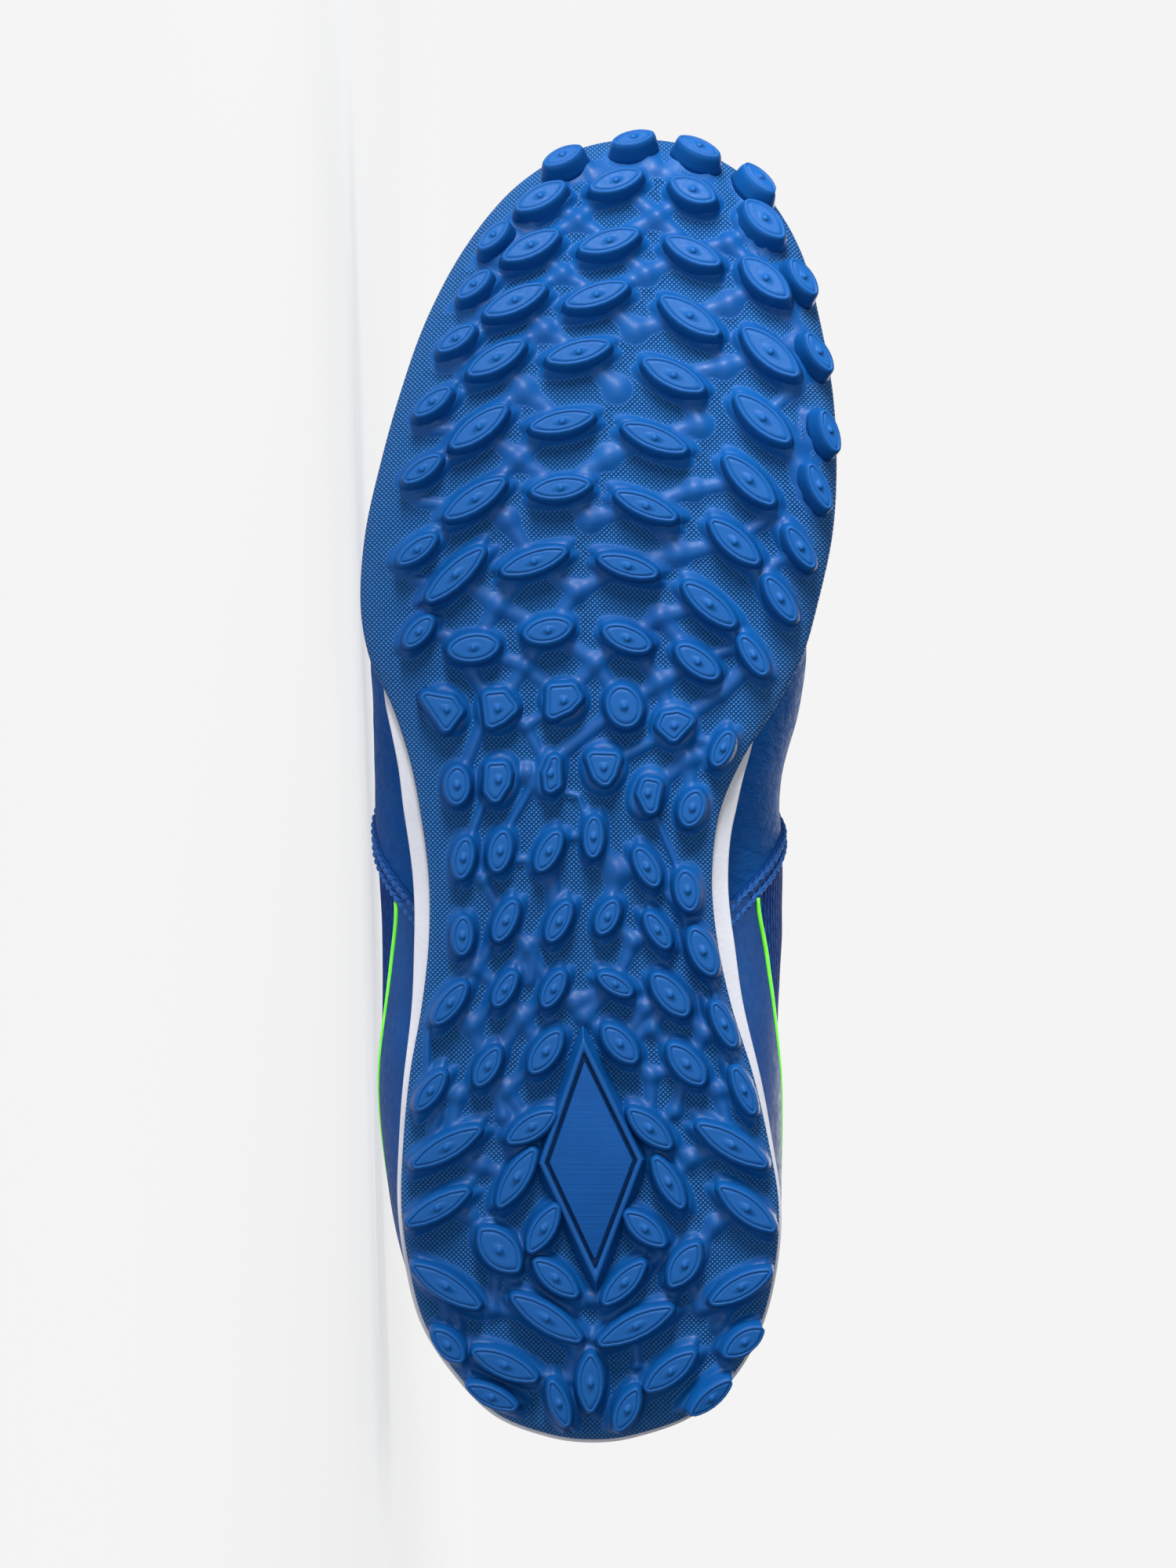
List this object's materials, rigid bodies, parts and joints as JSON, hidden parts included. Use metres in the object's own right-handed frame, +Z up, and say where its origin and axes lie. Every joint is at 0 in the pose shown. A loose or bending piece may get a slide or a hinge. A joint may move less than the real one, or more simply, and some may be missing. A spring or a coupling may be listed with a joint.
{
  "type": "turf shoe",
  "caption": "Low-cut turf sports shoe for the right foot, with a studded rubber sole, foam midsole and laced synthetic upper, lying on its outer side.",
  "frame": {"origin": "On the surface that the shoe lies on, under the middle of its box", "axes": "+Z up. The shoe lies on its outer side: +Y towards the toe, +X away from the lugs towards the collar, and +Z from the shoe's outer side to its inner side"},
  "size_m": [0.0994, 0.2858, 0.1042],
  "materials": {
    "outsole": "satin",
    "midsole": "matte",
    "upper": "satin",
    "counter": "satin",
    "eyestay": "satin",
    "piping": "satin",
    "lining": "matte",
    "tongue": "matte",
    "laces": "matte"
  },
  "bodies": {
    "root": {"outsole": "outsole", "midsole": "midsole", "upper": "upper", "heel_counter": "counter", "eyestay": "eyestay", "piping": "piping", "insole": "lining", "tongue": "tongue", "laces": "laces"}
  },
  "joints": []
}
